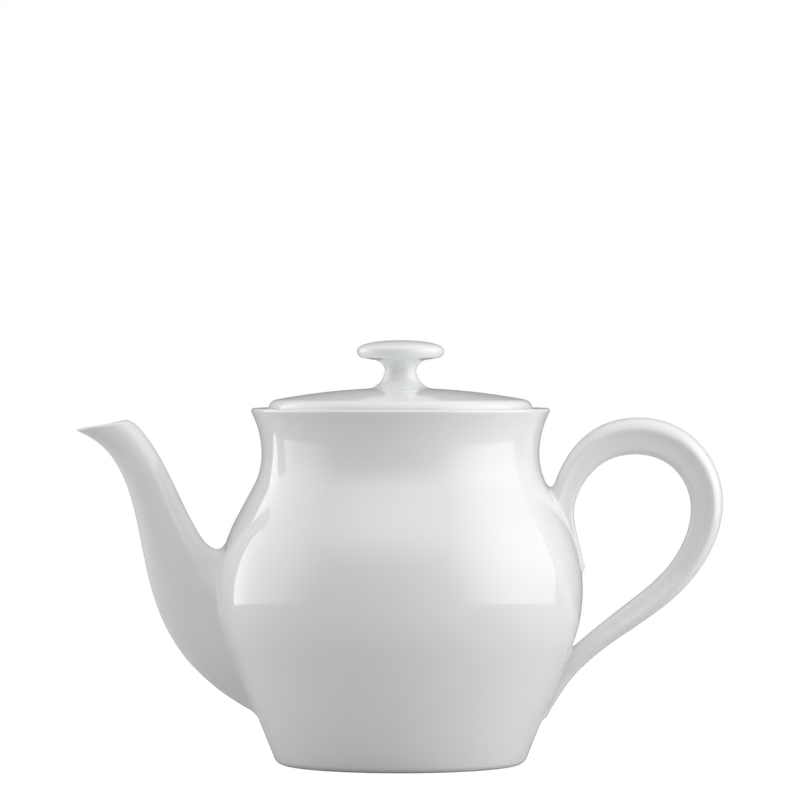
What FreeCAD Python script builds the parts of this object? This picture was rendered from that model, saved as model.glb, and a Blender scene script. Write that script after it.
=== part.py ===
import FreeCAD, Part
import math
import os
import re
import Sketcher

# A white porcelain teapot: a cast pot with a luted spout and handle, and a loose lid.
# The origin is the centre of the foot, +Z is up, the spout points to -X and the handle to +X.

# Sizes that can each be set by themselves, in millimetres and degrees
SIZES = {
    # Outside of the pot, from the foot up
    "heel_radius": 3.4,
    "taper_angle": 22.0,
    "belly_radius": 65.6,
    "belly_height": 62.5,
    "belly_arc": 55.0,
    "neck_inset": 15.6,
    "neck_rise": 49.0,
    "shoulder_curve": 0.938,
    "rim_flare": 3.8,
    "rim_rise": 16.5,
    "lip_radius": 0.95,
    # Inside of the pot and its foot ring
    "wall": 3.2,
    "floor_thickness": 4.0,
    "floor_corner": 4.5,
    "foot_recess": 2.2,
    "foot_ring_width": 3.4,
    "recess_slope": 1.5,
    # Gallery inside the rim, the ledge on which the lid lies
    "rim_width": 5.6,
    "seat_depth": 2.8,
    "ledge_width": 4.0,
    "ledge_thickness": 3.0,
    "ledge_slope": 1.0,
    "rim_round": 0.8,
    # Strainer holes pierced through the wall behind the spout
    "strainer_drop": 15.5,
    "strainer_pitch": 6.0,
    "strainer_hole": 2.0,
    # Lid, with the gap that it keeps from the pot all round
    "lid_gap": 0.6,
    "lid_crown": 7.3,
    "dome_fall": 4.285,
    "lid_edge": 2.6,
    "lid_wall": 3.4,
    "flange_wall": 3.2,
    "flange_depth": 12.0,
    "flange_bevel": 1.0,
    "tongue_reach": 2.2,
    "tongue_angle": 18.0,
    "tongue_height": 4.0,
    "tongue_bevel": 1.0,
    "vent_radius": 1.6,
    "vent_offset": 24.0,
    # Knob, a spool on a waisted stem
    "knob_foot": 11.2,
    "knob_foot_edge": 0.35,
    "stem_radius": 5.6,
    "stem_cap_arc": 5.2,
    "knob_radius": 15.7,
    "knob_thickness": 5.8,
    "knob_rise": 17.1,
    "knob_crown": 0.4,
    # Spout: control points of its centreline, out from and up from the belly's widest circle
    "spout_root_out": -36.1,
    "spout_root_up": -17.0,
    "spout_sweep_out": 34.4,
    "spout_sweep_up": -19.5,
    "spout_rise_out": 6.4,
    "spout_rise_up": 47.5,
    "spout_tip_out": 48.9,
    "spout_tip_up": 64.5,
    "spout_root_half_height": 36.5,
    "spout_root_half_width": 19.0,
    "spout_tip_radius": 7.0,
    "spout_wall": 2.6,
    "mouth_tilt": 14.0,
    "mouth_trim": 6.6,
    # Handle section: where its ridge and its inner edge lie, as shares of its half sizes
    "ridge_share": 0.30,
    "inner_share": 0.60,
    "inner_width_share": 0.62,
}

# Handle: control points from the upper leaf over the crown to the lower leaf
# Each has its place out from and up from the belly, its half thickness and its half width
HANDLE_POINTS = {
    "upper_tip": (-1.1, 8.5, 1.9, 2.2),
    "upper_leaf": (-7.6, 19.5, 5.8, 5.2),
    "shoulder": (-10.1, 31.0, 3.4, 6.6),
    "climb": (3.9, 56.5, 6.6, 6.8),
    "crown": (34.4, 56.5, 6.9, 7.0),
    "back": (48.9, 32.5, 5.9, 6.8),
    "fall": (37.9, 6.0, 4.7, 6.4),
    "tail": (18.4, -8.5, 4.6, 6.0),
    "bend": (-4.1, -24.5, 3.1, 5.6),
    "lower_leaf": (-14.6, -38.0, 5.3, 4.6),
    "lower_tip": (-15.1, -43.5, 3.2, 2.2),
}
HANDLE_TRAITS = ("out", "up", "half_thickness", "half_width")

# Sizes that follow from the ones above
FORMULAS = {
    "belly_centre": "belly_radius - belly_arc",
    "taper_top": "belly_centre + belly_arc * cos(taper_angle)",
    "taper_top_height": "belly_height - belly_arc * sin(taper_angle)",
    "heel_top_height": "heel_radius * (1 - sin(taper_angle))",
    "heel_top": "taper_top - (taper_top_height - heel_top_height) * tan(taper_angle)",
    "foot_radius": "heel_top - heel_radius * cos(taper_angle)",
    "recess_radius": "foot_radius - foot_ring_width",
    "neck_radius": "belly_radius - neck_inset",
    "neck_height": "belly_height + neck_rise",
    "widest_shoulder": "(neck_inset^2 + neck_rise^2) / (2 * neck_inset)",
    "neck_arc": "shoulder_curve * widest_shoulder - belly_arc",
    "neck_centre": "neck_radius + neck_arc",
    "shoulder_run": "neck_centre - belly_centre",
    "shoulder_span": "sqrt(shoulder_run^2 + neck_rise^2)",
    "shoulder_angle": "asin((belly_arc + neck_arc) / shoulder_span) - atan2(shoulder_run; neck_rise)",
    "rim_radius": "neck_radius + rim_flare",
    "rim_height": "neck_height + rim_rise",
    "lip_centre": "rim_radius - lip_radius",
    "flare_run": "lip_centre - neck_radius",
    "flare_climb": "rim_height - lip_radius - neck_height",
    "flare_arc": "(flare_run^2 + flare_climb^2 - lip_radius^2) / (2 * (lip_radius + flare_run))",
    "flare_centre": "neck_radius + flare_arc",
    "flare_share": "flare_arc / (flare_arc + lip_radius)",
    "flare_top": "flare_centre - (flare_centre - lip_centre) * flare_share",
    "flare_top_height": "neck_height + flare_climb * flare_share",
    "floor_height": "foot_recess + floor_thickness",
    "inner_belly_arc": "belly_arc - wall",
    "inner_taper_top": "belly_centre + inner_belly_arc * cos(taper_angle)",
    "inner_taper_top_height": "belly_height - inner_belly_arc * sin(taper_angle)",
    "corner_top_height": "floor_height + floor_corner * (1 - sin(taper_angle))",
    "corner_top": "inner_taper_top - (inner_taper_top_height - corner_top_height) * tan(taper_angle)",
    "corner_start": "corner_top - floor_corner * cos(taper_angle)",
    "inner_neck_arc": "neck_arc + wall",
    "inner_flare_arc": "flare_arc + wall",
    "seat_radius": "rim_radius - rim_width",
    "seat_height": "rim_height - seat_depth",
    "ledge_radius": "seat_radius - ledge_width",
    "ledge_bottom": "seat_height - ledge_thickness",
    "gallery_foot": "ledge_bottom - ledge_slope",
    "gallery_foot_radius": "flare_centre - sqrt(inner_flare_arc^2 - (gallery_foot - neck_height)^2)",
    "strainer_height": "belly_height - strainer_drop",
    "lid_radius": "seat_radius - lid_gap",
    "flange_radius": "ledge_radius - lid_gap",
    "hollow_radius": "flange_radius - flange_wall",
    "crown_height": "rim_height + lid_crown",
    "edge_centre": "lid_radius - lid_edge",
    "dome_radius": "lid_edge + (edge_centre^2 + dome_fall^2) / (2 * dome_fall)",
    "dome_centre": "crown_height - dome_radius",
    "edge_climb": "sqrt((dome_radius - lid_edge)^2 - edge_centre^2)",
    "edge_share": "dome_radius / (dome_radius - lid_edge)",
    "inner_dome_radius": "dome_radius - lid_wall",
    "flange_bottom": "seat_height - flange_depth",
    "tongue_tip": "flange_radius + tongue_reach",
    "tongue_top": "gallery_foot - lid_gap",
    "tongue_bottom": "tongue_top - tongue_height",
    "notch_radius": "tongue_tip + lid_gap",
    "notch_angle": "tongue_angle * 1 deg + 2 * asin(lid_gap / flange_radius)",
    "knob_foot_height": "dome_centre + sqrt(dome_radius^2 - knob_foot^2)",
    "stem_foot_height": "knob_foot_height + knob_foot_edge",
    "knob_top": "crown_height + knob_rise",
    "knob_edge_top": "knob_top - knob_crown",
    "knob_bottom": "knob_edge_top - knob_thickness",
    "knob_edge": "knob_thickness / 2",
    "knob_flat": "knob_radius - knob_edge",
    "stem_height": "knob_bottom - stem_cap_arc",
    "stem_foot_run": "knob_foot - stem_radius",
    "stem_foot_climb": "stem_height - stem_foot_height",
    "stem_foot_arc": "(stem_foot_run^2 + stem_foot_climb^2) / (2 * stem_foot_run)",
    "knob_crown_arc": "(knob_flat^2 + knob_crown^2) / (2 * knob_crown)",
    "mouth_height": "belly_height + spout_tip_up - mouth_trim",
    "mouth_reach": "belly_radius + spout_tip_out",
    "trim_size": "2 * spout_root_half_height",
}

SPOUT_POINTS = ("root", "sweep", "rise", "tip")
SPOUT_STATIONS = 13
SPOUT_TAPER_POWER = 3
STATIONS_PER_HANDLE_SPAN = 2
CURVE_DEGREE = 3
STRAINER_ROWS = 7
ROW_SPACING = math.sqrt(3) / 2

doc = FreeCAD.newDocument("teapot")
sheet = doc.addObject("Spreadsheet::Sheet", "Sizes")


def fill_sheet():
    """Write each size into its own row of the sheet, under its name."""
    sizes = dict(SIZES)
    for point, values in HANDLE_POINTS.items():
        for trait, value in zip(HANDLE_TRAITS, values):
            sizes[f"handle_{point}_{trait}"] = value
    for row, (name, size) in enumerate(sizes.items(), start=1):
        sheet.set(f"A{row}", name)
        sheet.set(f"B{row}", str(size))
        sheet.setAlias(f"B{row}", name)
    doc.recompute()
    return sizes


ALIASES = fill_sheet()


def bound(formula):
    """Spell a formula out in the sheet's own cells."""
    def spell(match):
        word = match.group(0)
        if word in FORMULAS:
            return "(" + bound(FORMULAS[word]) + ")"
        if word in ALIASES:
            return "Sizes." + word
        return word
    return re.sub(r"[A-Za-z_]\w*", spell, formula)


def measure(formula):
    """The present value of a formula as a plain number."""
    found = sheet.evalExpression(bound(formula))
    return float(getattr(found, "Value", found))


def weighted(weights, names):
    """A formula that adds up named sizes, each with its weight."""
    terms = [f"{weight!r} * {name}" for weight, name in zip(weights, names) if weight]
    return " + ".join(terms).replace("+ -", "- ")


def new_body(name):
    body = doc.addObject("PartDesign::Body", name)
    body.Label = name
    return body


def new_sketch(body, name, plane="XZ_Plane"):
    sketch = body.newObject("Sketcher::SketchObject", name)
    support = [feature for feature in body.Origin.OriginFeatures if feature.Role == plane]
    sketch.AttachmentSupport = (support[0], [""])
    sketch.MapMode = "FlatFace"
    return sketch


def bind_point(sketch, geometry, end, place):
    """Tie one end of a sketch curve to its place."""
    for kind, axis, formula in (("DistanceX", -2, place[0]), ("DistanceY", -1, place[1])):
        if formula == "0":
            sketch.addConstraint(Sketcher.Constraint("PointOnObject", geometry, end, axis))
            continue
        number = sketch.addConstraint(Sketcher.Constraint(kind, -1, 1, geometry, end, measure(formula)))
        sketch.setExpression(f"Constraints[{number}]", bound(formula))


def bind_radius(sketch, geometry, formula):
    number = sketch.addConstraint(Sketcher.Constraint("Radius", geometry, measure(formula)))
    sketch.setExpression(f"Constraints[{number}]", bound(formula))


def arc_between(first, last, radius, turn):
    """The arc of under a half circle from first to last, turning left (1) or right (-1)."""
    chord = last - first
    middle = (first + last) * 0.5
    depth = math.sqrt(max(radius ** 2 - (chord.Length / 2) ** 2, 0.0))
    side = FreeCAD.Vector(-chord.y, chord.x, 0).normalize() * (turn * depth)
    centre = middle + side
    begin, end = (first, last) if turn > 0 else (last, first)
    angles = [math.atan2(point.y - centre.y, point.x - centre.x) for point in (begin, end)]
    return Part.ArcOfCircle(Part.Circle(centre, FreeCAD.Vector(0, 0, 1), radius), *angles)


def draw_outline(sketch, start, steps):
    """Draw a closed outline: each step is a corner, and for an arc also its radius and turn."""
    corners = [start] + [step[0] for step in steps]
    places = [FreeCAD.Vector(measure(x), measure(y), 0) for x, y in corners]
    ends = []
    for index, step in enumerate(steps):
        first, last = places[index], places[index + 1]
        if len(step) == 1:
            geometry = sketch.addGeometry(Part.LineSegment(first, last))
            ends.append((geometry, 1, 2))
            continue
        corner, radius, turn = step
        geometry = sketch.addGeometry(arc_between(first, last, measure(radius), turn))
        ends.append((geometry, 1, 2) if turn > 0 else (geometry, 2, 1))
    for index, (geometry, begin, end) in enumerate(ends):
        following, next_begin, _ = ends[(index + 1) % len(ends)]
        sketch.addConstraint(Sketcher.Constraint("Coincident", geometry, end, following, next_begin))
    for (geometry, begin, end), corner in zip(ends, corners):
        bind_point(sketch, geometry, begin, corner)
    for (geometry, begin, end), step in zip(ends, steps):
        if len(step) > 1:
            bind_radius(sketch, geometry, step[1])


def turn_profile(body, kind, name, start, steps, angle=None):
    """Turn a closed outline about the pot's axis, all the way round or evenly about +X."""
    sketch = new_sketch(body, f"{name}_outline")
    draw_outline(sketch, start, steps)
    feature = body.newObject(f"PartDesign::{kind}", name)
    feature.Profile = sketch
    feature.ReferenceAxis = (sketch, ["V_Axis"])
    feature.Angle = 360.0
    if angle:
        feature.Midplane = True
        feature.setExpression("Angle", bound(angle))
    return feature


def turn_pot_outside(body):
    """The outside of the pot: heel, straight taper, belly, shoulder, neck and flared lip."""
    turn_profile(body, "Revolution", f"{body.Name}_outside", ("0", "0"), [
        (("foot_radius", "0"),),
        (("heel_top", "heel_top_height"), "heel_radius", 1),
        (("taper_top", "taper_top_height"),),
        (("belly_centre + belly_arc * cos(shoulder_angle)",
          "belly_height + belly_arc * sin(shoulder_angle)"), "belly_arc", 1),
        (("neck_centre - neck_arc * cos(shoulder_angle)",
          "neck_height - neck_arc * sin(shoulder_angle)"),),
        (("neck_radius", "neck_height"), "neck_arc", -1),
        (("flare_top", "flare_top_height"), "flare_arc", -1),
        (("lip_centre", "rim_height"), "lip_radius", 1),
        (("0", "rim_height"),),
        (("0", "0"),),
    ])


def make_envelope():
    """The filled outside of the pot, to which the spout and the handle are cut."""
    body = new_body("pot_envelope")
    turn_pot_outside(body)
    return body


def make_pot_body():
    """The pot: hollow, with a gallery in its rim, a foot ring and strainer holes."""
    body = new_body("pot_body")
    turn_pot_outside(body)
    turn_profile(body, "Groove", "cavity", ("0", "floor_height"), [
        (("corner_start", "floor_height"),),
        (("corner_top", "corner_top_height"), "floor_corner", 1),
        (("inner_taper_top", "inner_taper_top_height"),),
        (("belly_centre + inner_belly_arc * cos(shoulder_angle)",
          "belly_height + inner_belly_arc * sin(shoulder_angle)"), "inner_belly_arc", 1),
        (("neck_centre - inner_neck_arc * cos(shoulder_angle)",
          "neck_height - inner_neck_arc * sin(shoulder_angle)"),),
        (("neck_radius - wall", "neck_height"), "inner_neck_arc", -1),
        (("gallery_foot_radius", "gallery_foot"), "inner_flare_arc", -1),
        (("ledge_radius", "ledge_bottom"),),
        (("ledge_radius", "seat_height"),),
        (("seat_radius", "seat_height"),),
        (("seat_radius", "rim_height - rim_round"),),
        (("seat_radius + rim_round", "rim_height"), "rim_round", -1),
        (("0", "rim_height"),),
        (("0", "floor_height"),),
    ])
    turn_profile(body, "Groove", "foot_hollow", ("0", "0"), [
        (("recess_radius", "0"),),
        (("recess_radius - recess_slope", "foot_recess"),),
        (("0", "foot_recess"),),
        (("0", "0"),),
    ])
    turn_profile(body, "Groove", "tongue_notch", ("flange_radius", "gallery_foot"), [
        (("notch_radius", "gallery_foot"),),
        (("notch_radius", "seat_height"),),
        (("flange_radius", "seat_height"),),
        (("flange_radius", "gallery_foot"),),
    ], angle="notch_angle")
    pierce_strainer(body)
    return body


def pierce_strainer(body):
    """Rows of two and three holes by turns, pierced level through the wall towards the spout."""
    sketch = new_sketch(body, "strainer_holes", "YZ_Plane")
    middle = STRAINER_ROWS // 2
    for row in range(-middle, middle + 1):
        shifts = (-1, 1) if row % 2 else (-2, 0, 2)
        height = f"strainer_height + {row * ROW_SPACING!r} * strainer_pitch".replace("+ -", "- ")
        for shift in shifts:
            across = f"{shift} * strainer_pitch / 2" if shift else "0"
            centre = FreeCAD.Vector(measure(across), measure(height), 0)
            circle = Part.Circle(centre, FreeCAD.Vector(0, 0, 1), measure("strainer_hole"))
            geometry = sketch.addGeometry(circle)
            bind_point(sketch, geometry, 3, (across, height))
            bind_radius(sketch, geometry, "strainer_hole")
    pocket = body.newObject("PartDesign::Pocket", "strainer")
    pocket.Profile = sketch
    pocket.setExpression("Length", bound("2 * belly_radius"))


def make_lid_cover():
    """The shallow dome of the lid, flat below where it lies on the gallery, with a steam vent."""
    body = new_body("lid_cover")
    turn_profile(body, "Revolution", "dome", ("0", "crown_height - lid_wall"), [
        (("hollow_radius", "dome_centre + sqrt(inner_dome_radius^2 - hollow_radius^2)"),
         "inner_dome_radius", -1),
        (("hollow_radius", "seat_height"),),
        (("lid_radius", "seat_height"),),
        (("lid_radius", "dome_centre + edge_climb"),),
        (("edge_centre * edge_share", "dome_centre + edge_climb * edge_share"), "lid_edge", 1),
        (("0", "crown_height"), "dome_radius", 1),
        (("0", "crown_height - lid_wall"),),
    ])
    sketch = new_sketch(body, "vent_circle", "XY_Plane")
    centre = FreeCAD.Vector(measure("vent_offset"), 0, 0)
    geometry = sketch.addGeometry(Part.Circle(centre, FreeCAD.Vector(0, 0, 1), measure("vent_radius")))
    bind_point(sketch, geometry, 3, ("vent_offset", "0"))
    bind_radius(sketch, geometry, "vent_radius")
    vent = body.newObject("PartDesign::Pocket", "vent")
    vent.Profile = sketch
    vent.Reversed = True
    vent.setExpression("Length", bound("2 * rim_height"))
    return body


def make_lid_flange():
    """The deep ring under the lid that keeps it centred in the mouth."""
    body = new_body("lid_flange")
    turn_profile(body, "Revolution", "ring", ("hollow_radius", "flange_bottom"), [
        (("flange_radius - flange_bevel", "flange_bottom"),),
        (("flange_radius", "flange_bottom + flange_bevel"),),
        (("flange_radius", "seat_height"),),
        (("hollow_radius", "seat_height"),),
        (("hollow_radius", "flange_bottom"),),
    ])
    return body


def make_lid_tongue():
    """The lug on the ring that passes the notch and hooks under the gallery."""
    body = new_body("lid_tongue")
    turn_profile(body, "Revolution", "lug", ("flange_radius", "tongue_bottom"), [
        (("tongue_tip", "tongue_bottom + tongue_bevel"),),
        (("tongue_tip", "tongue_top"),),
        (("flange_radius", "tongue_top"),),
        (("flange_radius", "tongue_bottom"),),
    ], angle="tongue_angle")
    return body


def make_lid_knob():
    """The knob: a round-edged disc on a waisted stem that spreads onto the dome."""
    body = new_body("lid_knob")
    turn_profile(body, "Revolution", "spool", ("0", "crown_height"), [
        (("knob_foot", "knob_foot_height"), "dome_radius", -1),
        (("knob_foot", "stem_foot_height"),),
        (("stem_radius", "stem_height"), "stem_foot_arc", -1),
        (("stem_radius + stem_cap_arc", "knob_bottom"), "stem_cap_arc", -1),
        (("knob_flat", "knob_bottom"),),
        (("knob_radius", "knob_bottom + knob_edge"), "knob_edge", 1),
        (("knob_flat", "knob_edge_top"), "knob_edge", 1),
        (("0", "knob_top"), "knob_crown_arc", 1),
        (("0", "crown_height"),),
    ])
    return body


def place_across(item, placement, x, z, run, climb):
    """Stand a section square to a curve that heads along run and climb, its X to the left of it."""
    about_y = FreeCAD.Rotation(FreeCAD.Vector(0, 1, 0), 1)
    setattr(item, placement, FreeCAD.Placement(FreeCAD.Vector(), about_y))
    item.setExpression(f"{placement}.Base.x", bound(x))
    item.setExpression(f"{placement}.Base.z", bound(z))
    item.setExpression(f"{placement}.Rotation.Angle", bound(f"-atan2({run}; -({climb}))"))


def spout_loft(name, thinner):
    """A tapering tube along the spout's curve, its half sizes less the stated thickness."""
    sections = []
    for station in range(SPOUT_STATIONS):
        along = station / (SPOUT_STATIONS - 1)
        back = 1 - along
        weights = (back ** 3, 3 * back ** 2 * along, 3 * back * along ** 2, along ** 3)
        slopes = (-3 * back ** 2, 3 * back * (back - 2 * along),
                  3 * along * (2 * back - along), 3 * along ** 2)
        outs = [f"spout_{point}_out" for point in SPOUT_POINTS]
        ups = [f"spout_{point}_up" for point in SPOUT_POINTS]
        section = doc.addObject("Part::Ellipse", f"{name}_section_{station}")
        place_across(section, "Placement",
                     f"-(belly_radius + {weighted(weights, outs)})",
                     f"belly_height + {weighted(weights, ups)}",
                     f"-({weighted(slopes, outs)})", weighted(slopes, ups))
        share = back ** SPOUT_TAPER_POWER
        root_sizes = {"MajorRadius": "spout_root_half_height", "MinorRadius": "spout_root_half_width"}
        for radius, root in root_sizes.items():
            size = f"spout_tip_radius + {share!r} * ({root} - spout_tip_radius) - {thinner}"
            setattr(section, radius, measure(size))
            section.setExpression(radius, bound(size))
        sections.append(section)
    loft = doc.addObject("Part::Loft", name)
    loft.Sections = sections
    loft.Solid = True
    return loft


def cut(name, base, tool):
    result = doc.addObject("Part::Cut", name)
    result.Label = name
    result.Base = base
    result.Tool = tool
    return result


def make_spout(envelope):
    """The spout: a hollow S-curve, cut to the pot's outside and trimmed at its slanted mouth."""
    trim = doc.addObject("Part::Box", "mouth_trim_block")
    about_y = FreeCAD.Rotation(FreeCAD.Vector(0, 1, 0), 1)
    trim.Placement = FreeCAD.Placement(FreeCAD.Vector(), about_y)
    for side in ("Length", "Width", "Height"):
        trim.setExpression(side, bound("trim_size"))
    trim.setExpression("Placement.Base.x", bound("-mouth_reach - trim_size / 2 * cos(mouth_tilt)"))
    trim.setExpression("Placement.Base.y", bound("-trim_size / 2"))
    trim.setExpression("Placement.Base.z", bound("mouth_height - trim_size / 2 * sin(mouth_tilt)"))
    trim.setExpression("Placement.Rotation.Angle", bound("-mouth_tilt"))
    tube = cut("spout_tube", spout_loft("spout_outside", "0"), spout_loft("spout_bore", "spout_wall"))
    rooted = cut("spout_rooted", tube, envelope)
    return cut("spout", rooted, trim)


def spline_weight(index, degree, knots, along):
    """How much a control point counts at a place along a clamped spline."""
    if degree == 0:
        last = knots[index] < knots[index + 1] == knots[-1] == along
        return 1.0 if knots[index] <= along < knots[index + 1] or last else 0.0
    total = 0.0
    rise = knots[index + degree] - knots[index]
    fall = knots[index + degree + 1] - knots[index + 1]
    if rise:
        share = (along - knots[index]) / rise
        total += share * spline_weight(index, degree - 1, knots, along)
    if fall:
        share = (knots[index + degree + 1] - along) / fall
        total += share * spline_weight(index + 1, degree - 1, knots, along)
    return total


def spline_slopes(count, knots, along):
    """How fast each control point's weight changes at a place along a clamped spline."""
    lower = CURVE_DEGREE - 1
    slopes = []
    for index in range(count):
        rise = knots[index + CURVE_DEGREE] - knots[index]
        fall = knots[index + CURVE_DEGREE + 1] - knots[index + 1]
        gain = spline_weight(index, lower, knots, along) / rise if rise else 0.0
        loss = spline_weight(index + 1, lower, knots, along) / fall if fall else 0.0
        slopes.append(CURVE_DEGREE * (gain - loss))
    return slopes


def draw_handle_section(sketch, half_thickness, half_width):
    """The handle's section: a round back, a ridge on each side, flat flanks and a narrow inner edge."""
    ridge = f"ridge_share * ({half_thickness})"
    inner = f"-inner_share * ({half_thickness})"
    inner_width = f"inner_width_share * ({half_width})"
    back_depth = f"((1 - ridge_share) * ({half_thickness}))"
    inner_depth = f"((1 - inner_share) * ({half_thickness}))"
    back_arc = f"(({half_width})^2 + {back_depth}^2) / (2 * {back_depth})"
    inner_arc = f"(({inner_width})^2 + {inner_depth}^2) / (2 * {inner_depth})"
    draw_outline(sketch, (ridge, f"-({half_width})"), [
        ((ridge, half_width), back_arc, 1),
        ((inner, inner_width),),
        ((inner, f"-({inner_width})"), inner_arc, 1),
        ((ridge, f"-({half_width})"),),
    ])


def make_handle(envelope):
    """The handle: an ear-shaped bar that ends in two leaves, cut to the pot's outside."""
    body = new_body("handle_blank")
    points = list(HANDLE_POINTS)
    spans = len(points) - CURVE_DEGREE
    knots = [0] * CURVE_DEGREE + list(range(spans + 1)) + [spans] * CURVE_DEGREE
    names = {trait: [f"handle_{point}_{trait}" for point in points] for trait in HANDLE_TRAITS}
    sections = []
    for station in range(spans * STATIONS_PER_HANDLE_SPAN + 1):
        along = station / STATIONS_PER_HANDLE_SPAN
        weights = [spline_weight(index, CURVE_DEGREE, knots, along) for index in range(len(points))]
        slopes = spline_slopes(len(points), knots, along)
        sketch = new_sketch(body, f"handle_section_{station}", "XY_Plane")
        place_across(sketch, "AttachmentOffset",
                     f"belly_radius + {weighted(weights, names['out'])}",
                     f"belly_height + {weighted(weights, names['up'])}",
                     weighted(slopes, names["out"]), weighted(slopes, names["up"]))
        draw_handle_section(sketch, weighted(weights, names["half_thickness"]),
                            weighted(weights, names["half_width"]))
        sections.append(sketch)
    loft = body.newObject("PartDesign::AdditiveLoft", "ear")
    loft.Profile = sections[0]
    loft.Sections = sections[1:]
    return cut("handle", body, envelope)


def check(parts):
    """Stop before anything is written if an object failed or a piece isn't one sound solid."""
    failed = [item.Name for item in doc.Objects if {"Invalid", "Error"} & set(item.State)]
    if failed:
        raise RuntimeError(f"failed objects: {failed}")
    for part in parts:
        if part.Shape.isNull() or not part.Shape.isValid() or len(part.Shape.Solids) != 1:
            raise RuntimeError(f"{part.Label} isn't one sound solid")


def write(parts):
    os.makedirs("parts", exist_ok=True)
    for part in parts:
        part.Shape.exportStep(f"parts/{part.Label}.step")
        print(part.Label, round(part.Shape.Volume, 1), "mm3")


pot_envelope = make_envelope()
teapot = [
    make_pot_body(),
    make_spout(pot_envelope),
    make_handle(pot_envelope),
    make_lid_cover(),
    make_lid_flange(),
    make_lid_tongue(),
    make_lid_knob(),
]
doc.recompute()
check(teapot)
write(teapot)
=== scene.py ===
import math

import bpy
import numpy as np
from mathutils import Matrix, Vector


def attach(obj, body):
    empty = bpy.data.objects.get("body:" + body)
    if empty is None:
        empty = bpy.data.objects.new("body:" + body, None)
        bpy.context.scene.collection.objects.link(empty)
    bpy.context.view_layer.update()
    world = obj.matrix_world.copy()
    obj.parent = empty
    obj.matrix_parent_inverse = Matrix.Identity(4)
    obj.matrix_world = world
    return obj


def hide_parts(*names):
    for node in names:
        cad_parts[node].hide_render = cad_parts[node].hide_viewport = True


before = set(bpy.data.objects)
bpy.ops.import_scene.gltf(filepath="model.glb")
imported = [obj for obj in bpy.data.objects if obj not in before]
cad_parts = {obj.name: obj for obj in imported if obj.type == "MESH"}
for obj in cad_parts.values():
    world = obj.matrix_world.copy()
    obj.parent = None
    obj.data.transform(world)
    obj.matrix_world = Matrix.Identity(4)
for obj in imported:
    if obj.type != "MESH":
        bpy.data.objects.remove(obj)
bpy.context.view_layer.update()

# The pot: a slip-cast porcelain body turned true about its axis, from the foot ring over the
# belly and the waisted neck to a flared rim. It is glazed inside and out, and wiped bare where it
# stands and where the lid lies. A ledge inside the rim, the gallery, carries the lid.
MM = 0.001
TURN_STEPS = 256
HEEL_RADIUS = 3.4
TAPER = math.radians(22.0)
BELLY_RADIUS = 65.6
BELLY_HEIGHT = 62.5
BELLY_ARC = 55.0
NECK_RADIUS = 50.0
NECK_HEIGHT = 111.5
NECK_ARC = 24.5
RIM_RADIUS = 53.8
RIM_HEIGHT = 128.0
LIP_RADIUS = 0.95
WALL = 3.2
FLOOR_HEIGHT = 6.2
FLOOR_CORNER = 4.5
FOOT_RECESS = 2.2
FOOT_RING = 3.4
FOOT_DRAFT = 1.5
RECESS_ROUND = 1.2
FLAT_RINGS = (12.0, 26.0)
SEAT_RADIUS = 48.2
SEAT_HEIGHT = 125.2
LEDGE_RADIUS = 44.2
LEDGE_BOTTOM = 122.2
GALLERY_FOOT = 121.2
RIM_ROUND = 0.8
EDGE_ROUND = 0.5
SAME_POINT = 1e-4
ON_AXIS = 1e-6
BARE_BAND = 0.1
BARE_FOOT_RISE = 0.25
BARE_FOOT_IN = 0.3
BARE_FOOT_OUT = 0.8


def arc(centre, radius, first, last, steps):
    """Points on an arc, by its angles in degrees, both ends included."""
    angles = np.radians(np.linspace(first, last, steps + 1))
    return [(centre[0] + radius * math.cos(a), centre[1] + radius * math.sin(a)) for a in angles]


def straight(first, last, steps):
    """Points on a straight run, without its two ends."""
    shares = np.linspace(0, 1, steps + 1)[1:-1]
    return [tuple(np.array(first) * (1 - s) + np.array(last) * s) for s in shares]


def eased(corner, before, after, radius, steps=5):
    """A corner of an outline rounded off towards its two neighbours."""
    corner, before, after = (np.array(p, float) for p in (corner, before, after))
    begin = corner + (before - corner) / np.linalg.norm(before - corner) * radius
    end = corner + (after - corner) / np.linalg.norm(after - corner) * radius
    shares = np.linspace(0, 1, steps + 1)
    return [tuple((1 - s) ** 2 * begin + 2 * s * (1 - s) * corner + s ** 2 * end) for s in shares]


belly_centre = (BELLY_RADIUS - BELLY_ARC, BELLY_HEIGHT)
neck_centre = (NECK_RADIUS + NECK_ARC, NECK_HEIGHT)
shoulder_run = neck_centre[0] - belly_centre[0]
shoulder_climb = NECK_HEIGHT - BELLY_HEIGHT
shoulder_reach = math.hypot(shoulder_run, shoulder_climb)
shoulder_lean = math.asin((BELLY_ARC + NECK_ARC) / shoulder_reach)
shoulder_lean -= math.atan2(shoulder_run, shoulder_climb)
lip_centre = (RIM_RADIUS - LIP_RADIUS, RIM_HEIGHT - LIP_RADIUS)
flare_run = lip_centre[0] - NECK_RADIUS
flare_climb = lip_centre[1] - NECK_HEIGHT
flare_arc = (flare_run ** 2 + flare_climb ** 2 - LIP_RADIUS ** 2) / (2 * (LIP_RADIUS + flare_run))
flare_centre = (NECK_RADIUS + flare_arc, NECK_HEIGHT)
flare_end = math.degrees(math.atan2(flare_climb, flare_centre[0] - lip_centre[0]))


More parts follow.
